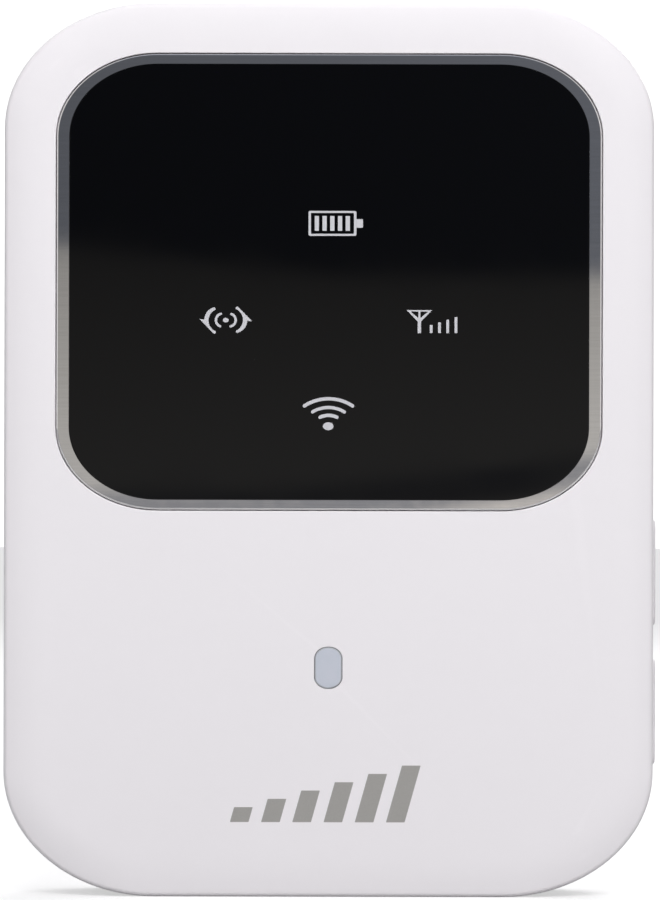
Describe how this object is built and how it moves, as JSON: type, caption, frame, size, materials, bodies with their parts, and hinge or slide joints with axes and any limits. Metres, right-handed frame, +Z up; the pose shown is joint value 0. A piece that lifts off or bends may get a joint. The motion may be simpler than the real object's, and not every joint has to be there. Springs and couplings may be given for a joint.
{
  "type": "mobile hotspot",
  "caption": "Pocket battery-powered wireless hotspot: white case with a black status window in a silver trim ring, side keys, a status lens and a clip-on back over a removable battery.",
  "frame": {"origin": "middle of the bottom edge, on the surface that the upright case stands on, at half the case's depth", "axes": "+Z up along the case's long side, +X to the right seen from the front, +Y from the front face to the back"},
  "size_m": [0.0703, 0.0136, 0.096],
  "materials": {
    "case_white": "polished white moulding",
    "cover_white": "polished white moulding",
    "key_white": "polished white moulding",
    "trim_silver": "satin plated trim",
    "window_black": "high gloss black",
    "symbol_grey": "light grey print",
    "emblem_silver": "satin silver print",
    "lens_grey": "milky translucent",
    "tape_black": "foam tape",
    "film_milky": "milky film",
    "guide_white": "matt moulding",
    "board_green": "solder mask",
    "lamp_yellow": "clear resin",
    "can_tin": "tinned sheet",
    "chip_black": "moulded epoxy",
    "part_tan": "ceramic",
    "socket_steel": "stamped sheet",
    "insulator_black": "moulded insulator",
    "contact_gold": "gold plated",
    "switch_black": "moulded",
    "plunger_white": "moulded",
    "housing_white": "fine spark texture",
    "screw_steel": "blackened steel",
    "battery_black": "matt wrap",
    "label_silver": "blank label",
    "label_white": "blank label",
    "antenna_gold": "plated flexible strip"
  },
  "bodies": {
    "chassis": {"front_shell": "case_white", "rear_housing": "housing_white", "window_trim_ring": "trim_silver", "display_window": "window_black", "battery_icon": "symbol_grey", "data_icon": "symbol_grey", "signal_icon": "symbol_grey", "wireless_icon": "symbol_grey", "front_emblem": "emblem_silver", "status_lens": "lens_grey", "window_adhesive": "tape_black", "light_diffuser": "film_milky", "light_guide_frame": "guide_white", "main_board": "board_green", "indicator_leds": "lamp_yellow", "baseband_shield": "can_tin", "rf_shield": "can_tin", "wifi_shield": "can_tin", "baseband_chip": "chip_black", "memory_chip": "chip_black", "rf_chip": "chip_black", "power_chip": "chip_black", "wifi_chip": "chip_black", "board_parts": "part_tan", "usb_shell": "socket_steel", "usb_tongue": "insulator_black", "sim_socket": "socket_steel", "sim_contacts": "contact_gold", "memory_card_socket": "socket_steel", "battery_connector": "insulator_black", "battery_contacts": "contact_gold", "power_switch": "switch_black", "wps_switch": "switch_black", "housing_screws": "screw_steel", "bay_label": "label_white", "main_antenna": "antenna_gold", "diversity_antenna": "antenna_gold", "wifi_antenna": "antenna_gold"},
    "power_key": {"power_button": "key_white", "power_plunger": "plunger_white"},
    "wps_key": {"wps_button": "key_white", "wps_plunger": "plunger_white"},
    "battery": {"battery_pack": "battery_black", "battery_terminals": "contact_gold", "battery_label": "label_silver"},
    "cover": {"battery_cover": "cover_white"}
  },
  "joints": [
    {"name": "power_press", "type": "slide", "parent": "chassis", "child": "power_key", "axis": [-1, 0, 0], "range_m": [0, 0.0003], "stiffness_N_per_m": 400},
    {"name": "wps_press", "type": "slide", "parent": "chassis", "child": "wps_key", "axis": [-1, 0, 0], "range_m": [0, 0.0003], "stiffness_N_per_m": 400},
    {"name": "cover_lift_off", "type": "slide", "parent": "chassis", "child": "cover", "axis": [0, 1, 0], "range_m": [0, 0.03]},
    {"name": "battery_lift_out", "type": "slide", "parent": "chassis", "child": "battery", "axis": [0, 1, 0], "range_m": [0, 0.015]}
  ],
  "couplings": [
    {"joint": "battery_lift_out", "follows": "cover_lift_off", "ratio": 0.5}
  ]
}
